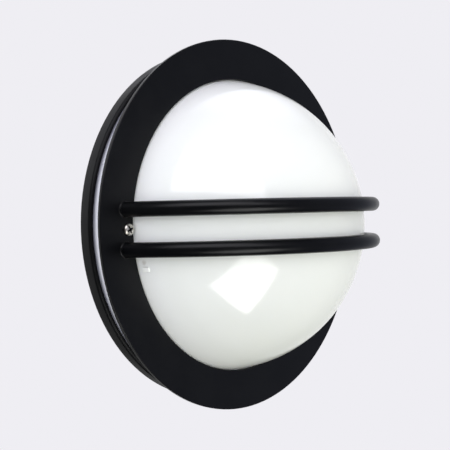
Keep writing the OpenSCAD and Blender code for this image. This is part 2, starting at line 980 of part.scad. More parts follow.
// The direction of a path at one of its points, from the two stretches that meet there
function unit(v) = v / norm(v);
function lead(p, i) =
    i == 0 ? unit(p[1] - p[0]) :
    i == len(p) - 1 ? unit(p[i] - p[i - 1]) :
    let (a = norm(p[i] - p[i - 1]), b = norm(p[i + 1] - p[i]))
    unit((p[i] - p[i - 1]) * b / a + (p[i + 1] - p[i]) * a / b);
function between(p, i, t) =
    let (span = norm(p[i + 1] - p[i]), a = lead(p, i) * span, b = lead(p, i + 1) * span)
    (2 * t * t * t - 3 * t * t + 1) * p[i] + (t * t * t - 2 * t * t + t) * a
    + (3 * t * t - 2 * t * t * t) * p[i + 1] + (t * t * t - t * t) * b;
function smooth(p, steps) = concat(
    [for (i = [0 : len(p) - 2]) for (k = [0 : steps - 1]) between(p, i, k / steps)],
    [p[len(p) - 1]]
);
function heading(p, i) = unit(p[min(i + 1, len(p) - 1)] - p[max(i - 1, 0)]);
function square_to(n, t) = unit(n - (n * t) * t);
function side_vectors(p, i, n) =
    i >= len(p) ? [] :
    let (m = square_to(n, heading(p, i))) concat([m], side_vectors(p, i + 1, m));

// A round wire swept along a smooth path through hand-set points
module wire(pts) {
    sides = 8;
    path = smooth(pts, 4);
    across = side_vectors(path, 0, [0.3, 0.5, 0.81]);
    last = len(path) - 1;
    points = [for (i = [0 : last]) for (k = [0 : sides - 1])
        let (a = k * 360 / sides, u = across[i], v = cross(heading(path, i), u))
        path[i] + wire_d / 2 * (cos(a) * u + sin(a) * v)];
    walls = [for (i = [0 : last - 1]) for (k = [0 : sides - 1])
        [i * sides + k, (i + 1) * sides + k, (i + 1) * sides + (k + 1) % sides, i * sides + (k + 1) % sides]];
    start = [[for (k = [0 : sides - 1]) k]];
    end = [[for (k = [sides - 1 : -1 : 0]) last * sides + k]];
    polyhedron(points = points, faces = concat(start, walls, end));
}

// Routes run from the terminal block, under the tray, up through the bush and into the nipple
block_end = block_x + block_l / 2;
wire_start = block_x + 1;
nipple_end = -holder_back - bracket_t - nipple_back;
core_back = -holder_back + insert_seat;
pair_x = wire_d / 2 + 0.35;

module wire_live() {
    color("#6b3f22")
        upright()
            wire([
                [wire_start, -pole_pitch, clamp_z], [block_end - 2, -pole_pitch, clamp_z],
                [block_end + 1, -pole_pitch, clamp_z], [block_end + 4.5, -pole_pitch - 2, clamp_z],
                [block_end + 8, -pole_pitch - 10, clamp_z],
                [block_end + 8, bush_y * 0.56, clamp_z], [bush_x + 7, bush_y + 10.5, clamp_z - 1],
                [bush_x - pair_x + 1, bush_y + 3, tray_z - 6.5], [bush_x - pair_x, bush_y, tray_z - 3],
                [bush_x - pair_x, bush_y, tray_top + 3], [bush_x - 3, bush_y - 4, tray_top + 12],
                [bush_x - 6, bush_y - 4, lamp_out - 9], [pair_x + 3.4, nipple_end - 5, lamp_out - 1.5],
                [pair_x, nipple_end + 0.5, lamp_out], [pair_x, nipple_end + 4, lamp_out],
                [pair_x, core_back - 9.5, lamp_out], [pair_x, core_back - 7, lamp_out],
                [pair_x + 0.6, core_back - 4.6, lamp_out], [4.6, core_back - 2.3, lamp_out],
                [6.3, core_back - 0.4, lamp_out], [6.5, core_back + 2.4, lamp_out]
            ]);
}

module wire_neutral() {
    color("#2f5f9e")
        upright()
            wire([
                [wire_start, 0, clamp_z], [block_end + 1, 0, clamp_z],
                [block_end + 5.5, -1.5, clamp_z], [block_end + 13, -12, clamp_z],
                [block_end + 14, bush_y * 0.54, clamp_z], [bush_x + 12, bush_y + 9, clamp_z - 1],
                [bush_x + pair_x + 2, bush_y + 2, tray_z - 6.5], [bush_x + pair_x, bush_y, tray_z - 3],
                [bush_x + pair_x, bush_y, tray_top + 3], [bush_x + 1, bush_y - 4, tray_top + 14],
                [bush_x - 5, bush_y - 6.5, lamp_out - 4], [pair_x + 2.6, nipple_end - 6, lamp_out + 1.2],
                [-pair_x, nipple_end + 0.5, lamp_out], [-pair_x, nipple_end + 4, lamp_out],
                [-pair_x, core_back - 9.5, lamp_out], [-pair_x, core_back - 7, lamp_out],
                [-pair_x - 0.6, core_back - 4.6, lamp_out], [-4.6, core_back - 2.3, lamp_out],
                [-6.3, core_back - 0.4, lamp_out], [-6.5, core_back + 2.4, lamp_out]
            ]);
}

module wire_earth() {
    lug_z = earth_top + earth_washer_t + earth_lug_t / 2 + 0.9;
    color("#5d8a3a")
        upright()
            wire([
                [wire_start, pole_pitch, clamp_z], [block_end + 1, pole_pitch, clamp_z],
                [block_end + 4.5, pole_pitch - 1, clamp_z], [block_end + 9, pole_pitch - 5, clamp_z],
                [earth_x - 3.5, earth_y - 22.3, lug_z], [earth_x - 0.4, earth_y - 19, lug_z],
                [earth_x, earth_y - 16, lug_z], [earth_x, earth_y - 10.5, lug_z]
            ]);
}

base_pan();
wall_gasket();
cable_grommet();
rim_gasket();
diffuser();
front_ring();
guard_bar_upper();
guard_bar_lower();
ring_screw(-1);  // ring_screw_left
ring_screw(1);  // ring_screw_right
screw_seals();
reflector_tray();
tray_screws();
holder_bracket();
bracket_rivets();
holder_nipple();
holder_locknut();
holder_dome();
holder_insert();
holder_skirt();
centre_contact();
side_contact();
lamp_bulb();
lamp_cap();
lamp_insulator();
lamp_contact();
terminal_block();
terminal_clamps();
terminal_screws();
block_screws();
cord_clamp();
clamp_screws();
earth_screw();
earth_washer();
earth_lug();
wire_bush();
wire_live();
wire_neutral();
wire_earth();
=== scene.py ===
import math
import bmesh
import bpy
import numpy as np
from mathutils import Matrix, Vector, noise


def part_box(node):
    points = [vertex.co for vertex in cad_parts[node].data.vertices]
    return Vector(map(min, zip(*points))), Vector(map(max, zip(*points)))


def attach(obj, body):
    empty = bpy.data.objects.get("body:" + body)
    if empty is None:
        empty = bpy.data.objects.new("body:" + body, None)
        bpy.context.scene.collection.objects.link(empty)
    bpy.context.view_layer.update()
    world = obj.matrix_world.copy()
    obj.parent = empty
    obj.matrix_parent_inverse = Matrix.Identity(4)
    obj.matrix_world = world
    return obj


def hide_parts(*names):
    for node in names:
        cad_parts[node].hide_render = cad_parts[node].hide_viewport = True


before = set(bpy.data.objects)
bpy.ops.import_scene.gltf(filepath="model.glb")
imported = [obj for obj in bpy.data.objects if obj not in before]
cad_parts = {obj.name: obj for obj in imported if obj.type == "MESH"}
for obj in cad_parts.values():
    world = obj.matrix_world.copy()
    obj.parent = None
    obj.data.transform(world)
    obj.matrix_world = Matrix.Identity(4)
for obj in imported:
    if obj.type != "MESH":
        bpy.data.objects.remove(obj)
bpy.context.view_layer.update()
scene = bpy.context.scene

# ---------------------------------------------------------------- the view
# The photograph looks at the light from its left, level with its centre, through
# a long lens. The two directions are the camera's right and back.
eye = Vector((-0.5431, -0.5213, 0.0098))
eye_right = Vector((0.6735, -0.7387, -0.0248))
eye_back = Vector((-0.7374, -0.6739, 0.0464))
eye_up = eye_back.cross(eye_right).normalized()
eye_right = eye_up.cross(eye_back).normalized()
camera = bpy.data.objects.new("photo_camera", bpy.data.cameras.new("photo_camera"))
camera.data.sensor_width = 36.0
camera.data.lens = 86.27
camera.data.shift_x = -0.0342
camera.data.shift_y = 0.0800
camera.data.clip_start = 0.05
camera.data.clip_end = 30.0
camera.matrix_world = Matrix((
    (eye_right.x, eye_up.x, eye_back.x, eye.x),
    (eye_right.y, eye_up.y, eye_back.y, eye.y),
    (eye_right.z, eye_up.z, eye_back.z, eye.z),
    (0, 0, 0, 1)))
scene.collection.objects.link(camera)
scene.camera = camera

# ---------------------------------------------------------------- base pan
# The pan is one aluminium casting with pillars and bosses inside, coated satin
# black all over. Two screws through its slots hold it on the wall.
# in metres: points this near each other are joined, and edges this short are taken out
weld_gap, sliver = 2e-6, 1e-7


def add_piece(name, mesh, stands_for=()):
    """Puts a finished mesh in the scene, on the light's one body."""
    piece = bpy.data.objects.new(name, mesh)
    scene.collection.objects.link(piece)
    if stands_for:
        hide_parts(*stands_for)
    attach(piece, "root")
    return piece


def smooth_faces(mesh, corner=38):
    """Smooth shading across curved faces only: a face level with its neighbours stays flat."""
    level = 0.01
    bm = bmesh.new()
    bm.from_mesh(mesh)
    for face in bm.faces:
        turns = [e.calc_face_angle(0.0) for e in face.edges]
        face.smooth = any(level < turn < math.radians(corner) for turn in turns)
    bm.to_mesh(mesh)
    bm.free()
    mesh.set_sharp_from_angle(angle=math.radians(corner))


def dressed(node, material, edge=0.0):
    """A joined-up, smooth-shaded copy of a CAD node, its edges rounded by so many mm."""
    bm = bmesh.new()
    bm.from_mesh(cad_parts[node].data)
    bmesh.ops.remove_doubles(bm, verts=bm.verts, dist=weld_gap)
    bmesh.ops.dissolve_degenerate(bm, dist=sliver, edges=bm.edges)
    for layer in list(bm.loops.layers.uv):
        bm.loops.layers.uv.remove(layer)
    mesh = bpy.data.meshes.new(node + "_skin")
    bm.to_mesh(mesh)
    bm.free()
    for name in ("custom_normal", "sharp_face", "sharp_edge"):
        if name in mesh.attributes:
            mesh.attributes.remove(mesh.attributes[name])
    smooth_faces(mesh)
    mesh.materials.clear()
    mesh.materials.append(material)
    piece = add_piece(node + "_skin", mesh, [node])
    if edge:
        bevel = piece.modifiers.new("soft_edge", "BEVEL")
        bevel.width = edge / 1000
        bevel.segments = 2
        bevel.limit_method = "ANGLE"
        bevel.angle_limit = math.radians(40)
        bevel.harden_normals = True


def feed(tree, socket, value):
    """Sets a socket to a number or colour, or links it to another node's output."""
    if isinstance(value, bpy.types.NodeSocket):
        tree.links.new(value, socket)
    elif socket.type == "RGBA":
        socket.default_value = (*value, 1.0)
    else:
        socket.default_value = value


def math_node(tree, operation, a, b=None, c=None):
    """One sum, on numbers or on other nodes' outputs."""
    node = tree.nodes.new("ShaderNodeMath")
    node.operation = operation
    for socket, value in zip(node.inputs, (a, b, c)):
        if value is not None:
            feed(tree, socket, value)
    return node.outputs[0]


def span_node(tree, value, low, high, to_low=0.0, to_high=1.0):
    """Eases from one value to another while the input goes from low to high."""
    node = tree.nodes.new("ShaderNodeMapRange")
    node.interpolation_type = "SMOOTHSTEP"
    tree.links.new(value, node.inputs["Value"])
    node.inputs["From Min"].default_value = low
    node.inputs["From Max"].default_value = high
    node.inputs["To Min"].default_value = to_low
    node.inputs["To Max"].default_value = to_high
    return node.outputs["Result"]


def object_place(tree):
    """Where a point lies on the light, in metres from the centre of the pan's back."""
    return tree.nodes.new("ShaderNodeTexCoord").outputs["Object"]


def noise_node(tree, place, scale, detail=2.0, rough=0.5):
    """Cloudy noise, with so many clouds to a metre."""
    node = tree.nodes.new("ShaderNodeTexNoise")
    node.inputs["Detail"].default_value = detail
    node.inputs["Roughness"].default_value = rough
    feed(tree, node.inputs["Scale"], scale)
    tree.links.new(place, node.inputs["Vector"])
    return node.outputs["Fac"]


def new_group(name, sizes, results):
    """A shader node group, its inputs as sockets to link from, its outputs to link to."""
    group = bpy.data.node_groups.new(name, "ShaderNodeTree")
    for label, value in sizes.items():
        socket = group.interface.new_socket(label, in_out="INPUT", socket_type="NodeSocketFloat")
        socket.default_value = value
    for label in results:
        group.interface.new_socket(label, in_out="OUTPUT", socket_type="NodeSocketFloat")
    first, last = group.nodes.new("NodeGroupInput"), group.nodes.new("NodeGroupOutput")
    return group, first.outputs, last.inputs


# The skin of a sprayed or moulded surface: fine grain over a slow waviness, and
# a mask of patches a few centimetres wide
wave_weight = 10.0
patch_scale, patch_low, patch_high = 38.0, 0.36, 0.64
grain, g_size, g_result = new_group(
    "surface_grain", {"Grain size mm": 0.8, "Wave size mm": 12.0, "Wave share": 0.3},
    ("Height", "Patches"))
g_place = object_place(grain)
grain_scale = math_node(grain, "DIVIDE", 1000.0, g_size["Grain size mm"])
wave_scale = math_node(grain, "DIVIDE", 1000.0, g_size["Wave size mm"])
fine = noise_node(grain, g_place, grain_scale, 3.0)
slow = noise_node(grain, g_place, wave_scale, 1.0)
wave = math_node(grain, "MULTIPLY", math_node(grain, "SUBTRACT", slow, 0.5), g_size["Wave share"])
height = math_node(grain, "ADD", fine, math_node(grain, "MULTIPLY", wave, wave_weight))
patchy = noise_node(grain, g_place, patch_scale, 3.0, 0.6)
patches = span_node(grain, patchy, patch_low, patch_high)
grain.links.new(height, g_result["Height"])
grain.links.new(patches, g_result["Patches"])

# Worn edges: where a surface turns sharply within a short reach, broken up by noise
chip_scale, chip_depth = 900.0, 0.3
turn_low, turn_high = 0.05, 0.25
worn, w_size, w_result = new_group("worn_edge", {"Reach mm": 0.4, "Broken": 0.5}, ("Mask",))
w_round = worn.nodes.new("ShaderNodeBevel")
w_round.samples = 4
feed(worn, w_round.inputs["Radius"], math_node(worn, "DIVIDE", w_size["Reach mm"], 1000.0))
w_dot = worn.nodes.new("ShaderNodeVectorMath")
w_dot.operation = "DOT_PRODUCT"
worn.links.new(w_round.outputs["Normal"], w_dot.inputs[0])
worn.links.new(worn.nodes.new("ShaderNodeNewGeometry").outputs["Normal"], w_dot.inputs[1])
w_noise = math_node(worn, "SUBTRACT", noise_node(worn, object_place(worn), chip_scale), 0.5)
w_chips = math_node(worn, "MULTIPLY", w_size["Broken"], chip_depth)
w_shift = math_node(worn, "MULTIPLY", w_noise, w_chips)
w_turn = math_node(worn, "SUBTRACT", 1.0, w_dot.outputs["Value"])
w_mask = span_node(worn, math_node(worn, "ADD", w_turn, w_shift), turn_low, turn_high)
worn.links.new(w_mask, w_result["Mask"])


def nodes_of(material):
    """A material's node tree and its one shader."""
    return material.node_tree, material.node_tree.nodes["Principled BSDF"]


def new_material(name):
    """A plain material, with its node tree and its shader."""
    material = bpy.data.materials.new(name)
    material.use_nodes = True
    return material, *nodes_of(material)


def placed(tree, group, **values):
    """One use of a shared effect, with its own values."""
    node = tree.nodes.new("ShaderNodeGroup")
    node.node_tree = group
    for label, value in values.items():
        node.inputs[label.replace("_", " ")].default_value = value
    return node.outputs


def blend_colours(tree, factor, first, second):
    """The first colour where the factor is 0, the second where it is 1."""
    node = tree.nodes.new("ShaderNodeMix")
    node.data_type = "RGBA"
    tree.links.new(factor, node.inputs["Factor"])
    # of the node's four pairs of inputs, the third takes colours
    feed(tree, node.inputs[6], first)
    feed(tree, node.inputs[7], second)
    return node.outputs[2]


def bumped(tree, shader, height, depth_mm, strength):
    """Fine relief on a shader, from a height that goes up and down by so many mm."""
    bump = tree.nodes.new("ShaderNodeBump")
    bump.inputs["Strength"].default_value = strength
    bump.inputs["Distance"].default_value = depth_mm / 1000
    tree.links.new(height, bump.inputs["Height"])
    tree.links.new(bump.outputs["Normal"], shader.inputs["Normal"])


def grained(name, dark, light, rough, skin_mm, relief):
    """A coated or moulded surface: two close tones in patches, and a fine skin.

    rough is one roughness, or the two that the patches go between. skin_mm is the
    grain's size, the waves' size and their share. relief is its depth in mm and strength.
    """
    material, tree, shader = new_material(name)
    grain_mm, wave_mm, wave_share = skin_mm
    skin = placed(tree, grain, Grain_size_mm=grain_mm, Wave_size_mm=wave_mm, Wave_share=wave_share)
    feed(tree, shader.inputs["Base Color"], blend_colours(tree, skin["Patches"], dark, light))
    if isinstance(rough, tuple):
        rough = span_node(tree, skin["Patches"], 0.0, 1.0, *rough)
    feed(tree, shader.inputs["Roughness"], rough)
    bumped(tree, shader, skin["Height"], *relief)
    return material


def overlaid(material, mask, tone):
    """Lays a second tone over a material's colour where the mask is 1."""
    tree, shader = nodes_of(material)
    under = shader.inputs["Base Color"].links[0].from_socket
    tree.links.new(blend_colours(tree, mask, under, tone), shader.inputs["Base Color"])


def black_finish(name, rough_low, rough_high):
    """Satin black coat: fine spray grain, slow patches, and thin paint on the edges."""
    material = grained(name, (0.0022, 0.0024, 0.0032), (0.0030, 0.0032, 0.0041),
                       rough=(rough_low, rough_high), skin_mm=(0.9, 9.0, 0.12), relief=(0.010, 0.5))
    tree, shader = nodes_of(material)
    overlaid(material, placed(tree, worn, Reach_mm=0.4, Broken=0.5)["Mask"], (0.007, 0.007, 0.007))
    shader.inputs["Specular IOR Level"].default_value = 0.16
    return material


black_coat = black_finish("satin_black_coat", rough_low=0.29, rough_high=0.34)
dressed("base_pan", black_finish("cast_black_coat", rough_low=0.46, rough_high=0.52))

# ---------------------------------------------------------------- seals and cable entry
# A foam ring seals the pan on the wall, a moulded rubber ring seals the dome in
# the pan's rim, and a rubber grommet lets the supply cable in from behind.
foam, tree, shader = new_material("closed_cell_foam")
cells = tree.nodes.new("ShaderNodeTexVoronoi")
cells.inputs["Scale"].default_value = 1600.0
tree.links.new(object_place(tree), cells.inputs["Vector"])
pores = span_node(tree, cells.outputs["Distance"], 0.1, 0.6)
foam_tone = blend_colours(tree, pores, (0.018, 0.018, 0.019), (0.045, 0.046, 0.048))
tree.links.new(foam_tone, shader.inputs["Base Color"])
shader.inputs["Roughness"].default_value = 0.9
bumped(tree, shader, pores, 0.15, 0.8)
dressed("wall_gasket", foam)

seal_rubber = grained("seal_rubber", (0.014, 0.014, 0.015), (0.022, 0.022, 0.023),
                      rough=(0.62, 0.74), skin_mm=(0.35, 6.0, 0.1), relief=(0.02, 0.6))
dressed("cable_grommet", seal_rubber, edge=0.12)
dressed("rim_gasket", seal_rubber)
dressed("screw_seals", seal_rubber, edge=0.12)

# ---------------------------------------------------------------- terminals and wires
# The three-pole nylon block stands on the pan's pad. Brass tubes with two screws
# each take the supply on one side and the lamp's wires on the other.
nylon = grained("natural_nylon", (0.72, 0.70, 0.62), (0.78, 0.76, 0.69),
                rough=(0.38, 0.5), skin_mm=(0.25, 5.0, 0.1), relief=(0.008, 0.5))
_, shader = nodes_of(nylon)
shader.inputs["Subsurface Weight"].default_value = 0.1
shader.inputs["Subsurface Radius"].default_value = (0.002, 0.0018, 0.0012)
dressed("terminal_block", nylon, edge=0.12)
dressed("cord_clamp", nylon, edge=0.12)


def metal(name, bright, dull, rough_low, rough_high, grain_mm, depth_mm):
    """A plated or rolled metal: two tones in patches, fine marks and rubbed edges."""
    material = grained(name, dull, bright, rough=(rough_high, rough_low),
                       skin_mm=(grain_mm, 4.0, 0.1), relief=(depth_mm, 0.5))
    tree, shader = nodes_of(material)
    overlaid(material, placed(tree, worn, Reach_mm=0.15, Broken=0.6)["Mask"], bright)
    shader.inputs["Metallic"].default_value = 1.0
    return material


brass = metal("bright_brass", (0.80, 0.60, 0.28), (0.62, 0.44, 0.18),
              rough_low=0.22, rough_high=0.38, grain_mm=0.3, depth_mm=0.004)
zinc = metal("zinc_plate", (0.66, 0.68, 0.70), (0.50, 0.52, 0.53),
             rough_low=0.30, rough_high=0.48, grain_mm=0.6, depth_mm=0.004)
nickel = metal("nickel_plate", (0.74, 0.71, 0.66), (0.60, 0.57, 0.52),
               rough_low=0.16, rough_high=0.28, grain_mm=0.2, depth_mm=0.003)
cap_metal = metal("bright_cap_metal", (0.78, 0.79, 0.80), (0.64, 0.65, 0.66),
                  rough_low=0.18, rough_high=0.32, grain_mm=0.3, depth_mm=0.003)
dressed("terminal_clamps", brass)
dressed("terminal_screws", zinc)
for node in ("block_screws", "clamp_screws", "earth_screw"):
    dressed(node, nickel)
dressed("earth_washer", zinc)
dressed("earth_lug", cap_metal)


def insulation(name, colour, stripe=None):
    """Smooth wire insulation, with a second colour in long stripes if it has one."""
    shaded = tuple(0.8 * c for c in colour)
    material = grained(name, shaded, colour, rough=0.36, skin_mm=(0.5, 3.0, 0.1),
                       relief=(0.004, 0.4))
    if stripe:
        tree, _ = nodes_of(material)
        bands = tree.nodes.new("ShaderNodeTexWave")
        bands.bands_direction = "DIAGONAL"
        bands.inputs["Scale"].default_value = 70.0
        tree.links.new(object_place(tree), bands.inputs["Vector"])
        overlaid(material, span_node(tree, bands.outputs["Fac"], 0.45, 0.55), stripe)
    return material


dressed("wire_live", insulation("brown_insulation", (0.18, 0.07, 0.03)))
dressed("wire_neutral", insulation("blue_insulation", (0.03, 0.12, 0.40)))
dressed("wire_earth", insulation("green_yellow_insulation", (0.10, 0.32, 0.05),
                                 (0.75, 0.62, 0.05)))
dressed("wire_bush", seal_rubber, edge=0.1)

# ---------------------------------------------------------------- reflector and bracket
# A white-coated steel dish hides the wiring and throws the light forward. A bent
# zinc-plated strip is riveted to it and carries the lampholder.
white_coat = grained("white_tray_coat", (0.80, 0.80, 0.78), (0.84, 0.84, 0.83),
                     rough=(0.24, 0.32), skin_mm=(1.0, 8.0, 0.2), relief=(0.012, 0.5))
dressed("reflector_tray", white_coat)
dressed("tray_screws", nickel)
dressed("holder_bracket", zinc, edge=0.1)
dressed("bracket_rivets", cap_metal)

# ---------------------------------------------------------------- lampholder
# A black thermoset holder in two mouldings round a porcelain core, screwed on a
# hollow nipple that passes through the bracket and is held by a locknut.
thermoset = grained("black_thermoset", (0.012, 0.011, 0.011), (0.020, 0.018, 0.017),
                    rough=(0.20, 0.30), skin_mm=(0.4, 7.0, 0.15), relief=(0.006, 0.5))
porcelain = grained("cream_porcelain", (0.70, 0.66, 0.56), (0.76, 0.73, 0.65),
                    rough=0.16, skin_mm=(0.3, 6.0, 0.3), relief=(0.01, 0.5))
dressed("holder_nipple", zinc)
dressed("holder_locknut", zinc)
dressed("holder_dome", thermoset, edge=0.2)
dressed("holder_skirt", thermoset, edge=0.2)
dressed("holder_insert", porcelain, edge=0.15)
dressed("centre_contact", brass, edge=0.05)
dressed("side_contact", brass, edge=0.03)

# ---------------------------------------------------------------- lamp
# An opal glass lamp with a screw cap, a black glass insulator at the cap's foot
# and a soldered contact on its tip.
opal_glass = grained("opal_lamp_glass", (0.84, 0.83, 0.79), (0.87, 0.86, 0.83),
                     rough=(0.14, 0.2), skin_mm=(2.0, 18.0, 0.2), relief=(0.004, 0.4))
dressed("lamp_bulb", opal_glass)
dressed("lamp_cap", cap_metal)
dressed("lamp_insulator", thermoset, edge=0.1)
dressed("lamp_contact", cap_metal, edge=0.15)

# ---------------------------------------------------------------- opal dome
# One glossy opal plastic moulding: a dome, a flat flange that the ring clamps,
# a skirt down into the pan's rim, and a small nib that lines it up.
low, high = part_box("front_ring")
ring_front = -low.y * 1000
ring_back = -high.y * 1000
low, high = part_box("diffuser")
dome_tip = -low.y * 1000
skirt_foot = -high.y * 1000
skirt_r = (high.x - low.x) * 500
dome_r = 99.3
dome_z = dome_tip - dome_r
opal_t = 3.0
flange_z = ring_back - opal_t
# how far from the sharp corner each join of dome and flange starts, in mm and degrees
join_round, join_turn = 0.5, 0.4
inner_join_round, inner_join_turn = 0.2, 0.6
skirt_round = 1.2
foot_chamfer = 0.3
inner_chamfer = 0.6
dome_steps, inner_steps, round_steps, dome_around = 64, 48, 6, 256


def upright(points):
    """Millimetres (x, y, z out from the wall) to the frame's metres."""
    p = np.asarray(points, float).reshape(-1, 3)
    return np.column_stack([p[:, 0], -p[:, 2], p[:, 1]]) / 1000.0


def arc(centre, radius, start, end, steps):
    """Points of an arc in a section: (radius from the axis, height), in degrees."""
    turns = np.radians(np.linspace(start, end, steps + 1))
    return [(centre[0] + radius * math.cos(t), centre[1] + radius * math.sin(t)) for t in turns]


def turned(name, section, around):
    """A section turned about the light's axis, as a mesh in the frame."""
    turns = np.linspace(0, 2 * math.pi, around, endpoint=False)
    rings = np.array([[(r * math.cos(t), r * math.sin(t), z) for t in turns] for r, z in section])
    faces = []
    for i in range(len(section) - 1):
        a, b = i * around, (i + 1) * around
        for k in range(around):
            n = (k + 1) % around
            faces.append((a + k, a + n, b + n, b + k))
    mesh = bpy.data.meshes.new(name)
    mesh.from_pydata(upright(rings.reshape(-1, 3)), [], faces)
    bm = bmesh.new()
    bm.from_mesh(mesh)
    bmesh.ops.remove_doubles(bm, verts=bm.verts, dist=sliver)
    bmesh.ops.recalc_face_normals(bm, faces=bm.faces)
    bm.to_mesh(mesh)
    bm.free()
    smooth_faces(mesh)
    return mesh


# the section, from the dome's tip round the skirt's foot to the tip's inside
meet = math.degrees(math.asin((ring_back - dome_z) / dome_r))
join_r = dome_r * math.cos(math.radians(meet))
inner_r = dome_r - opal_t
inner_meet = math.degrees(math.asin((flange_z - dome_z) / inner_r))
inner_join_r = inner_r * math.cos(math.radians(inner_meet))
skirt_in = skirt_r - opal_t
section = arc((0, dome_z), dome_r, 90, meet + join_turn, dome_steps)
section += [(join_r + join_round, ring_back), (skirt_r - skirt_round, ring_back)]
section += arc((skirt_r - skirt_round, ring_back - skirt_round), skirt_round, 80, 0, round_steps)
section += [(skirt_r, skirt_foot + foot_chamfer), (skirt_r - foot_chamfer, skirt_foot),
            (skirt_in + foot_chamfer, skirt_foot), (skirt_in, skirt_foot + foot_chamfer),
            (skirt_in, flange_z - inner_chamfer), (skirt_in - inner_chamfer, flange_z),
            (inner_join_r + inner_join_round, flange_z)]
section += arc((0, dome_z), inner_r, inner_meet + inner_join_turn, 90, inner_steps)
dome_mesh = turned("opal_dome", section, dome_around)

# where the opal's tone, painted light and painted shade change, by its height off the wall (which
# is minus Y), in metres
painted_light_from, painted_light_to = -0.0500, -0.0280
rim_from, rim_to = -0.0242, -0.0238
foot_shade_from, foot_shade_to = -0.0130, -0.0090
bar_shade_at, bar_shade_in, bar_shade_out, bar_shade_ragged = (-0.0940, -0.0306, -0.0206), 0.0010, 0.0032, 0.0016
opal, tree, shader = new_material("opal_plastic")
skin = placed(tree, grain, Grain_size_mm=7.0, Wave_size_mm=55.0, Wave_share=0.5)
place = object_place(tree)
cloud = noise_node(tree, place, 9.0)
opal_colour = blend_colours(tree, span_node(tree, cloud, 0.35, 0.65),
                      (0.865, 0.880, 0.862), (0.885, 0.895, 0.880))
# a few specks of dust
specks = tree.nodes.new("ShaderNodeTexVoronoi")
specks.inputs["Scale"].default_value = 90.0
tree.links.new(place, specks.inputs["Vector"])
dusty = span_node(tree, specks.outputs["Distance"], 0.012, 0.03, 0.25, 0.0)
opal_colour = blend_colours(tree, dusty, opal_colour, (0.60, 0.60, 0.56))
# painted light: the opal is painted whiter where the dome meets its flange, lifting the shade that
# the ring casts there
parts = tree.nodes.new("ShaderNodeSeparateXYZ")
tree.links.new(place, parts.inputs[0])
ring_painted_light = span_node(tree, parts.outputs["Y"], painted_light_from, painted_light_to)
opal_colour = blend_colours(tree, ring_painted_light, opal_colour, (0.975, 0.98, 0.985))
# painted shade: a small brownish dark patch above the nib, ragged at its edge, standing for the
# lower bar's shadow and dark reflection on the dome
bar_shade_distance = tree.nodes.new("ShaderNodeVectorMath")
bar_shade_distance.operation = "DISTANCE"
bar_shade_distance.inputs[1].default_value = bar_shade_at
tree.links.new(place, bar_shade_distance.inputs[0])
ragged = math_node(tree, "MULTIPLY", noise_node(tree, place, 700.0), bar_shade_ragged)
off_bar_shade = math_node(tree, "ADD", bar_shade_distance.outputs["Value"], ragged)
bar_shade = span_node(tree, off_bar_shade, bar_shade_in, bar_shade_out, 0.38, 0.0)
opal_colour = blend_colours(tree, bar_shade, opal_colour, (0.42, 0.36, 0.28))
# the skirt stands in the black pan: painted shade makes it darker and bluer than the dome, darkest
# at its foot, for the shade of the ring and the pan's rim
in_pan = span_node(tree, parts.outputs["Y"], rim_from, rim_to)
foot_shade = span_node(tree, parts.outputs["Y"], foot_shade_from, foot_shade_to)
skirt_painted_shade = blend_colours(tree, foot_shade, (0.72, 0.72, 0.78), (0.18, 0.18, 0.22))
tree.links.new(blend_colours(tree, in_pan, opal_colour, skirt_painted_shade), shader.inputs["Base Color"])
gloss = span_node(tree, cloud, 0.3, 0.7, 0.09, 0.13)
tree.links.new(math_node(tree, "MULTIPLY_ADD", in_pan, 0.3, gloss), shader.inputs["Roughness"])
shader.inputs["IOR"].default_value = 1.49
shader.inputs["Subsurface Weight"].default_value = 0.4
shader.inputs["Subsurface Radius"].default_value = (0.008, 0.0078, 0.0072)
shader.inputs["Subsurface Scale"].default_value = 1.0
bumped(tree, shader, skin["Height"], 0.004, 0.5)
dome_mesh.materials.append(opal)
add_piece("opal_dome", dome_mesh, ["diffuser"])

# The nib stands on the dome at its lower left, with a soft fillet round its foot
nib_w, nib_len, nib_rise, nib_angle, nib_low = 2.9, 4.4, 0.8, 15.0, 2.6
nib_corner, nib_fillet, nib_spread, nib_bury, nib_root = 0.4, 0.4, 0.8, 0.06, 0.6
nib_steps = 34


def nib_lift(along, across):
    """How far the nib stands off the dome, from its own middle, in millimetres."""
    past_end, past_side = abs(along) - nib_len / 2, abs(across) - nib_w / 2
    over = max(past_end, past_side)
    corner = math.hypot(max(past_end + nib_corner, 0), max(past_side + nib_corner, 0)) - nib_corner
    share = min(max((nib_fillet / 2 - max(over, corner)) / nib_fillet, 0.0), 1.0)
    buried = nib_bury * min(max(over / nib_spread, 0.0), 1.0)
    return nib_rise * share * share * (3 - 2 * share) - buried


nib_bm = bmesh.new()
grid = []
for i in range(nib_steps + 1):
    row = []
    for k in range(nib_steps + 1):
        along = (i / nib_steps - 0.5) * (nib_len + 2 * nib_spread)
        across = (k / nib_steps - 0.5) * (nib_w + 2 * nib_spread)
        lift = nib_lift(along, across)
        height = ring_front + nib_low + nib_len / 2 + along
        flat_r = math.sqrt(dome_r ** 2 - (height - dome_z) ** 2)
        out = Vector((flat_r, height - dome_z)).normalized()
        radius = flat_r + out.x * lift
        turn = math.radians(180 + nib_angle) + across / flat_r
        point = [radius * math.cos(turn), radius * math.sin(turn), height + out.y * lift]
        row.append(nib_bm.verts.new(upright(point)[0]))
    grid.append(row)
for i in range(nib_steps):
    for k in range(nib_steps):
        nib_bm.faces.new((grid[i][k], grid[i][k + 1], grid[i + 1][k + 1], grid[i + 1][k]))
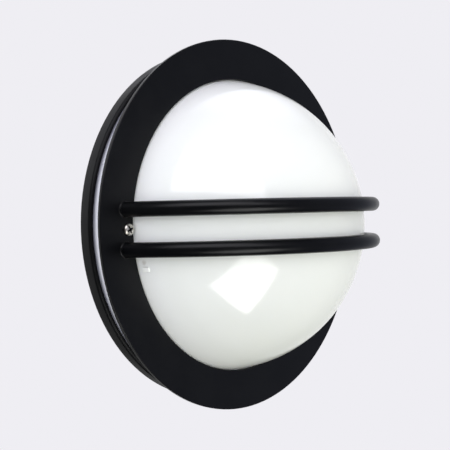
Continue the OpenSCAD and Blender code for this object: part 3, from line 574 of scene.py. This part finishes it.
# its edge goes down into the dome's wall and is closed there
edge_loop = grid[0][:-1] + [row[-1] for row in grid[:-1]]
edge_loop += grid[-1][:0:-1] + [row[0] for row in grid[:0:-1]]
dome_middle = Vector((0, -dome_z / 1000, 0))
sunk = [nib_bm.verts.new(v.co - (v.co - dome_middle).normalized() * (nib_root / 1000))
        for v in edge_loop]
for k, v in enumerate(edge_loop):
    n = (k + 1) % len(edge_loop)
    nib_bm.faces.new((v, edge_loop[n], sunk[n], sunk[k]))
nib_bm.faces.new(sunk)
bmesh.ops.recalc_face_normals(nib_bm, faces=nib_bm.faces)
nib_mesh = bpy.data.meshes.new("dome_nib")
nib_bm.to_mesh(nib_mesh)
nib_bm.free()
smooth_faces(nib_mesh, corner=50)
# painted highlight: the nib is painted lighter than the dome, for the light that its top catches
nib_mesh.materials.append(grained(
    "opal_nib_painted_highlight", (0.93, 0.94, 0.93), (0.97, 0.975, 0.97),
    rough=(0.28, 0.38), skin_mm=(0.5, 3.0, 0.1), relief=(0.02, 0.5)))
add_piece("dome_nib", nib_mesh)

# ---------------------------------------------------------------- front ring
# The ring is cut from flat steel plate, its edges rounded and coated satin black.
# It clamps the dome's flange with the two screws between the bars' feet.
dressed("front_ring", black_coat)

# ---------------------------------------------------------------- guard bars
# Two round steel rods bent to one arc each, welded upright on the ring and
# coated with it, so the weld beads show as soft collars under the coat.
opening_r = 98.35
foot_gap = 1.2
bar_r = 4.75
low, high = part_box("guard_bar_upper")
bar_front = -low.y * 1000 - bar_r
bar_y = (low.z + high.z) * 500
foot_x = opening_r + foot_gap + bar_r
bar_rise = bar_front - ring_front
bar_bend = (bar_rise ** 2 + foot_x ** 2) / (2 * bar_rise)
bar_half = math.asin(foot_x / bar_bend)
bar_points, bar_sides = 161, 40


def new_growth(name, sizes):
    """A geometry node tree that takes a mesh and named sizes in millimetres."""
    tree = bpy.data.node_groups.new(name, "GeometryNodeTree")
    tree.interface.new_socket("Blank", in_out="INPUT", socket_type="NodeSocketGeometry")
    for label in sizes:
        tree.interface.new_socket(label, in_out="INPUT", socket_type="NodeSocketFloat")
    tree.interface.new_socket("Piece", in_out="OUTPUT", socket_type="NodeSocketGeometry")
    return tree, tree.nodes.new("NodeGroupInput").outputs


def point_node(tree, *place):
    """A point or a turn, from its three numbers."""
    node = tree.nodes.new("ShaderNodeCombineXYZ")
    for socket, value in zip(node.inputs, place):
        feed(tree, socket, value)
    return node.outputs[0]


def end_growth(tree, mesh, turn, material):
    """The tree's last steps: the frame's axes and metres, plain mesh, and the finish."""
    in_frame = tree.nodes.new("GeometryNodeTransform")
    in_frame.inputs["Rotation"].default_value = turn
    in_frame.inputs["Scale"].default_value = (0.001, 0.001, 0.001)
    realized = tree.nodes.new("GeometryNodeRealizeInstances")
    coated = tree.nodes.new("GeometryNodeSetMaterial")
    coated.inputs["Material"].default_value = material
    tree.links.new(mesh, in_frame.inputs["Geometry"])
    tree.links.new(in_frame.outputs["Geometry"], realized.inputs["Geometry"])
    tree.links.new(realized.outputs["Geometry"], coated.inputs["Geometry"])
    last = tree.nodes.new("NodeGroupOutput")
    tree.links.new(coated.outputs["Geometry"], last.inputs["Piece"])


def grown(name, tree, sizes, blank=None):
    """Runs a geometry node tree on a mesh and gives back its result as a plain mesh."""
    blank = blank or bpy.data.meshes.new(name + "_seed")
    seed = bpy.data.objects.new(name + "_seed", blank)
    scene.collection.objects.link(seed)
    modifier = seed.modifiers.new("grow", "NODES")
    modifier.node_group = tree
    for item in tree.interface.items_tree:
        if item.in_out == "INPUT" and item.name in sizes:
            modifier[item.identifier] = sizes[item.name]
    seed.update_tag()
    depsgraph = bpy.context.evaluated_depsgraph_get()
    mesh = bpy.data.meshes.new_from_object(seed.evaluated_get(depsgraph))
    seed.modifiers.clear()
    bpy.data.objects.remove(seed)
    mesh.name = name
    return mesh


# the arc: one line of points, each set on the bend by its own share of the length
bars, bar_size = new_growth(
    "bent_bar", ("Bar radius", "Bend radius", "Half angle", "Front", "Height"))
line = bars.nodes.new("GeometryNodeMeshLine")
line.inputs["Count"].default_value = bar_points
index = bars.nodes.new("GeometryNodeInputIndex").outputs[0]
share = math_node(bars, "DIVIDE", index, float(bar_points - 1))
from_middle = math_node(bars, "SUBTRACT", math_node(bars, "MULTIPLY", share, 2.0), 1.0)
turn = math_node(bars, "MULTIPLY", from_middle, bar_size["Half angle"])
reach = math_node(bars, "MULTIPLY", math_node(bars, "SINE", turn), bar_size["Bend radius"])
flat = math_node(bars, "SUBTRACT", 1.0, math_node(bars, "COSINE", turn))
drop = math_node(bars, "MULTIPLY", flat, bar_size["Bend radius"])
depth = math_node(bars, "SUBTRACT", drop, bar_size["Front"])
spot = bars.nodes.new("GeometryNodeSetPosition")
bars.links.new(line.outputs["Mesh"], spot.inputs["Geometry"])
bars.links.new(point_node(bars, reach, depth, bar_size["Height"]), spot.inputs["Position"])
path = bars.nodes.new("GeometryNodeMeshToCurve")
bars.links.new(spot.outputs["Geometry"], path.inputs["Mesh"])
round_bar = bars.nodes.new("GeometryNodeCurvePrimitiveCircle")
round_bar.inputs["Resolution"].default_value = bar_sides
bars.links.new(bar_size["Bar radius"], round_bar.inputs["Radius"])
sweep = bars.nodes.new("GeometryNodeCurveToMesh")
sweep.inputs["Fill Caps"].default_value = True
bars.links.new(path.outputs["Curve"], sweep.inputs["Curve"])
bars.links.new(round_bar.outputs["Curve"], sweep.inputs["Profile Curve"])
end_growth(bars, sweep.outputs["Mesh"], (0.0, 0.0, 0.0), black_coat)

# a bead's legs on ring and bar, the size and the number of its ripples, and how
# deep it bites into the steel
bead_leg, bead_rise, bead_bite, bead_in = 0.75, 1.15, 0.04, 0.6
slow_ripple, fine_ripple = (0.22, 2.2), (0.10, 7)
bead_around, bead_steps = 96, 8


def bead(side, height, seed):
    """A weld bead round one foot: a hollow fillet with slow ripples."""
    bm = bmesh.new()
    lean = math.pi / 2 - bar_half
    rows = []
    for k in range(bead_around):
        t = 2 * math.pi * k / bead_around
        cx, cy = math.cos(t), math.sin(t)
        wall = bar_r / math.sqrt(1 - (cx * math.sin(lean)) ** 2)
        inside = bar_r - bead_in
        leg = bead_leg
        for (size, many), layer in ((slow_ripple, side), (fine_ripple, 4.0)):
            leg += size * noise.noise(Vector((cx * many + seed, cy * many, layer)))
        points = []
        for i in range(bead_steps + 1):
            s = i / bead_steps
            out = leg * (1 - s) ** 2
            up = leg * bead_rise * s ** 2
            shift = -side * up * math.tan(lean)
            points.append((side * foot_x + shift + cx * (wall + out - bead_bite),
                           height + cy * (bar_r + out - bead_bite), ring_front + up))
        # the last two points close it inside the bar
        for up in (leg * 0.5, 0.0):
            points.append((side * foot_x + cx * inside, height + cy * inside, ring_front + up))
        rows.append([bm.verts.new(point) for point in upright(points)])
    for k in range(bead_around):
        a, b = rows[k], rows[(k + 1) % bead_around]
        for i in range(len(a)):
            j = (i + 1) % len(a)
            bm.faces.new((a[i], b[i], b[j], a[j]))
    bmesh.ops.recalc_face_normals(bm, faces=bm.faces)
    mesh = bpy.data.meshes.new("weld_bead")
    bm.to_mesh(mesh)
    bm.free()
    return mesh


for name, height, seed in (("upper", bar_y, 3.0), ("lower", -bar_y, 11.0)):
    mesh = grown("guard_bar_" + name, bars, {
        "Bar radius": bar_r, "Bend radius": bar_bend, "Half angle": bar_half,
        "Front": bar_front, "Height": height})
    smooth_faces(mesh, corner=50)
    add_piece("bent_bar_" + name, mesh, ["guard_bar_" + name])
    for side, hand in ((-1, "left"), (1, "right")):
        mesh = bead(side, height, seed + side)
        smooth_faces(mesh, corner=60)
        mesh.materials.append(black_coat)
        add_piece("weld_bead_%s_%s" % (name, hand), mesh)

# ---------------------------------------------------------------- ring screws
# Two nickel-plated steel screws, with pan heads and a cross recess, draw the ring,
# the dome and the seals together on the pan's pillars.
head_r, head_h = 3.7, 2.3
crown_fall, crown_power = 0.42, 2.6
lip_at, lip_width, lip_fall = 0.9, 0.1, 0.28
head_side, head_foot, head_tuck = 0.35, 0.25, 0.22
arm_len, arm_half, arm_taper, arm_slope = 2.35, 0.66, 0.16, 0.9
core_r, recess_edge, recess_wall = 1.05, 0.10, 0.26
recess_deep, recess_rise, recess_r = 1.35, 0.5, 2.4
thread_r, root_r, pitch, thread_top, thread_rings = 2.0, 1.62, 0.7, -0.4, 44
tip_r, tip_z = 1.2, -16.0
screw_gap = 0.55
screw_r = opening_r + screw_gap + head_r
around, steps = 120, 46


def recess_cut(x, y):
    """1 inside the cross recess and 0 outside it, with a sloped wall between."""
    off = math.hypot(x, y) - core_r
    for along, across in ((abs(x), abs(y)), (abs(y), abs(x))):
        half = arm_half - arm_taper * min(along / arm_len, 1.0)
        off = min(off, max(across - half, (along - arm_len) * arm_slope))
    return min(max((recess_edge - off) / recess_wall, 0.0), 1.0)


def crown_height(radius):
    """The head's top: a low crown, rounded over at its rim."""
    share = radius / head_r
    lip = max(share - lip_at, 0.0) / lip_width
    return head_h * (1 - crown_fall * share ** crown_power) - lip_fall * lip * lip


screw_bm = bmesh.new()
rings = []
recess = []


def add_ring(radius, top_at):
    """One ring of the screw's points, or its middle point, at the heights of top_at."""
    ring = []
    for k in range(around if radius else 1):
        t = 2 * math.pi * k / around
        x, y = radius * math.cos(t), radius * math.sin(t)
        ring.append(screw_bm.verts.new((x, y, top_at(x, y))))
    rings.append(ring)


def recessed(radius):
    """The crown's height at a point of one ring, noting how deep the recess is there."""
    floor = recess_deep * (1 - recess_rise * min(radius / recess_r, 1.0))

    def top_at(x, y):
        cut = recess_cut(x, y)
        recess.append(cut)
        return crown_height(radius) - floor * cut * cut * (3 - 2 * cut)
    return top_at


def level(z):
    """One height all round, for the rings below the crown."""
    return lambda x, y: z


for i in range(steps + 1):
    radius = head_r * i / steps
    add_ring(radius, recessed(radius))
side_z = rings[-1][0].co.z
for radius, z in ((head_r, side_z - head_side), (head_r, head_foot),
                  (head_r - head_tuck, 0.0), (thread_r, 0.0)):
    add_ring(radius, level(z))
for step in range(thread_rings):
    add_ring(thread_r if step % 2 else root_r, level(thread_top - step * pitch / 2))
add_ring(tip_r, level(tip_z))
for k in range(around):
    screw_bm.faces.new((rings[0][0], rings[1][k], rings[1][(k + 1) % around]))
for a, b in zip(rings[1:], rings[2:]):
    for k in range(around):
        n = (k + 1) % around
        screw_bm.faces.new((a[k], b[k], b[n], a[n]))
screw_bm.faces.new(rings[-1])
bmesh.ops.recalc_face_normals(screw_bm, faces=screw_bm.faces)
screw_blank = bpy.data.meshes.new("screw_blank")
screw_bm.to_mesh(screw_blank)
screw_bm.free()

screw_plate = metal("screw_plate", (0.78, 0.75, 0.68), (0.60, 0.57, 0.50),
                    rough_low=0.30, rough_high=0.42, grain_mm=0.2, depth_mm=0.003)
tree, _ = nodes_of(screw_plate)
# painted shade: the cross recess is painted near black, for the shade that falls in it
recess_shade = tree.nodes.new("ShaderNodeAttribute")
recess_shade.attribute_name = "recess"
overlaid(screw_plate, span_node(tree, recess_shade.outputs["Fac"], 0.2, 0.7), (0.012, 0.010, 0.008))

# both are the same screw: the tree turns it on its axis and sets it on the ring
screws, screw_size = new_growth("ring_screw", ("Out", "Front", "Turn"))
seated = screws.nodes.new("GeometryNodeTransform")
screws.links.new(screw_size["Blank"], seated.inputs["Geometry"])
screws.links.new(point_node(screws, screw_size["Out"], 0.0, screw_size["Front"]),
                 seated.inputs["Translation"])
screws.links.new(point_node(screws, 0.0, 0.0, screw_size["Turn"]), seated.inputs["Rotation"])
end_growth(screws, seated.outputs["Geometry"], (math.pi / 2, 0.0, 0.0), screw_plate)
for name, side, turn in (("left", -1, 24), ("right", 1, 67)):
    mesh = grown("ring_screw_" + name, screws, {
        "Out": side * screw_r, "Front": ring_front, "Turn": math.radians(turn)}, screw_blank)
    smooth_faces(mesh, corner=48)
    depth = mesh.attributes.new("recess", "FLOAT", "POINT")
    depth.data.foreach_set("value", recess + [0.0] * (len(mesh.vertices) - len(recess)))
    add_piece("cross_screw_" + name, mesh, ["ring_screw_" + name])

# ---------------------------------------------------------------- studio
# A plain pale floor a little below the light, one large soft panel above it and
# one small panel below, as the two reflections in the photographed dome show.
pale = (0.863, 0.855, 0.896)
floor_r, floor_z = 14.0, -0.60
floor_mesh = bpy.data.meshes.new("floor")
bm = bmesh.new()
bmesh.ops.create_circle(bm, cap_ends=True, radius=floor_r, segments=64)
bm.to_mesh(floor_mesh)
bm.free()
floor_mesh.transform(Matrix.Translation((0, 0, floor_z)))
floor = bpy.data.objects.new("floor", floor_mesh)
scene.collection.objects.link(floor)
floor.visible_glossy = False
floor.visible_diffuse = False
floor_paint, tree, shader = new_material("pale_floor")
feed(tree, shader.inputs["Base Color"], (0.60, 0.62, 0.58))
shader.inputs["Roughness"].default_value = 0.9
shader.inputs["Specular IOR Level"].default_value = 0.0
glow = tree.nodes.new("ShaderNodeEmission")
feed(tree, glow.inputs["Color"], pale)
mixed = tree.nodes.new("ShaderNodeMixShader")
feed(tree, mixed.inputs["Fac"], tree.nodes.new("ShaderNodeLightPath").outputs["Is Camera Ray"])
tree.links.new(shader.outputs["BSDF"], mixed.inputs[1])
tree.links.new(glow.outputs["Emission"], mixed.inputs[2])
tree.links.new(mixed.outputs["Shader"], tree.nodes["Material Output"].inputs["Surface"])
floor_mesh.materials.append(floor_paint)

world = bpy.data.worlds.new("studio")
scene.world = world
world.use_nodes = True
tree = world.node_tree
for node in list(tree.nodes):
    tree.nodes.remove(node)
out = tree.nodes.new("ShaderNodeOutputWorld")
direction = tree.nodes.new("ShaderNodeTexCoord").outputs["Generated"]
split = tree.nodes.new("ShaderNodeSeparateXYZ")
tree.links.new(direction, split.inputs[0])


def towards(way, near, far):
    """1 close to a direction and 0 away from it, from the cosines of the two angles."""
    dot = tree.nodes.new("ShaderNodeVectorMath")
    dot.operation = "DOT_PRODUCT"
    dot.inputs[1].default_value = way
    tree.links.new(direction, dot.inputs[0])
    return span_node(tree, dot.outputs["Value"], far, near)


# what lights the matt surfaces: an even room with soft lights from several sides.
# Each has its direction, the cosine at its edge and the light it adds or takes.
soft_lights = (
    ((0.0, 0.0, 1.0), 0.2, (0.13, 0.12, 0.20)),
    ((-1.0, 0.0, 0.0), 0.2, (0.20, 0.21, 0.22)),
    ((-0.707, -0.707, 0.0), 0.2, (0.29, 0.30, 0.28)),
    ((0.0, -1.0, 0.0), 0.2, (0.12, 0.14, 0.15)),
    ((0.707, -0.707, 0.0), 0.2, (0.10, 0.085, 0.13)),
    ((1.0, 0.0, 0.0), 0.2, (0.20, 0.195, 0.22)),
    ((-0.7, -0.1, 0.7), 0.2, (0.33, 0.32, 0.44)),
    ((-0.5, -0.6, 0.62), 0.2, (0.16, 0.15, 0.18)),
    ((-0.92, -0.15, 0.36), 0.55, (0.38, 0.39, 0.44)),
    ((0.5, -0.6, -0.62), 0.2, (0.11, 0.10, 0.12)),
    ((0.0, -0.7, -0.7), 0.2, (0.32, 0.34, 0.21)),
    ((-0.65, -0.05, -0.75), 0.5, (-0.52, -0.53, -0.44)))
lit = (0.635, 0.645, 0.575)
for way, far, colour in soft_lights:
    shine = tree.nodes.new("ShaderNodeVectorMath")
    shine.operation = "MULTIPLY_ADD"
    feed(tree, shine.inputs[0], towards(way, 1.0, far))
    feed(tree, shine.inputs[1], colour)
    feed(tree, shine.inputs[2], lit)
    lit = shine.outputs["Vector"]

# what the glossy ones mirror: a dark room, with the pale backdrop behind the light
# and two brighter places on it
dark_room = blend_colours(tree, towards((0.75, -0.66, 0.0), 0.95, 0.2),
                          (0.015, 0.015, 0.02), (0.33, 0.35, 0.44))
behind = blend_colours(tree, span_node(tree, split.outputs["Z"], -0.7, 0.7),
                       (0.80, 0.81, 0.80), (2.3, 2.30, 2.42))
mirrored = blend_colours(tree, span_node(tree, split.outputs["Y"], 0.52, 0.80), dark_room, behind)
for way, near, far, colour in (((0.74, 0.67, 0.0), 1.15, 0.6, (1.1, 1.1, 1.12)),
                               ((0.47, 0.30, 0.83), 1.0, 0.84, (1.35, 1.37, 1.55))):
    mirrored = blend_colours(tree, towards(way, near, far), mirrored, colour)

seen = tree.nodes.new("ShaderNodeLightPath").outputs
ambient = tree.nodes.new("ShaderNodeBackground")
ambient.inputs["Strength"].default_value = 1.0
feed(tree, ambient.inputs["Color"], blend_colours(tree, seen["Is Glossy Ray"], lit, mirrored))
backdrop = tree.nodes.new("ShaderNodeBackground")
backdrop.inputs["Strength"].default_value = 1.0
feed(tree, backdrop.inputs["Color"], pale)
choose = tree.nodes.new("ShaderNodeMixShader")
tree.links.new(seen["Is Camera Ray"], choose.inputs["Fac"])
tree.links.new(ambient.outputs["Background"], choose.inputs[1])
tree.links.new(backdrop.outputs["Background"], choose.inputs[2])
tree.links.new(choose.outputs["Shader"], out.inputs["Surface"])
world.cycles.sampling_method = "NONE"


def soft_panel(name, corners, colour, mirrored_at, lighting_at):
    """A glowing panel: one sheet that is only mirrored, one that only lights, each
    with its own strength."""
    for use, strength in (("mirrored", mirrored_at), ("lighting", lighting_at)):
        mesh = bpy.data.meshes.new(name + "_" + use)
        mesh.from_pydata([Vector(c) for c in corners], [], [tuple(range(len(corners)))])
        panel = bpy.data.objects.new(name + "_" + use, mesh)
        scene.collection.objects.link(panel)
        material, tree, shader = new_material(name + "_" + use)
        tree.nodes.remove(shader)
        light = tree.nodes.new("ShaderNodeEmission")
        feed(tree, light.inputs["Color"], colour)
        light.inputs["Strength"].default_value = strength
        tree.links.new(light.outputs["Emission"], tree.nodes["Material Output"].inputs["Surface"])
        mesh.materials.append(material)
        panel.visible_camera = False
        panel.visible_shadow = False
        panel.visible_diffuse = use == "lighting"
        panel.visible_glossy = use == "mirrored"


soft_panel("upper_panel", [
    (-1.15, -0.09, 0.50), (-0.575, -0.045, 0.915), (-0.355, -0.155, 0.96), (-0.085, -0.42, 0.96),
    (-0.19, -0.60, 0.845), (-0.22, -1.32, 0.38)],
    (0.99, 0.98, 1.04), mirrored_at=3.5, lighting_at=1.38)
soft_panel("lower_panel", [
    (-0.334, -0.226, -0.336), (-0.057, -0.228, -0.453), (-0.023, -0.441, -0.229),
    (-0.138, -0.449, -0.170), (-0.250, -0.399, -0.178)],
    (1.0, 1.0, 0.98), mirrored_at=5.9, lighting_at=0.69)

# ---------------------------------------------------------------- colour view
# Colours are shown as they are written.
scene.view_settings.view_transform = "Standard"
bpy.context.view_layer.update()
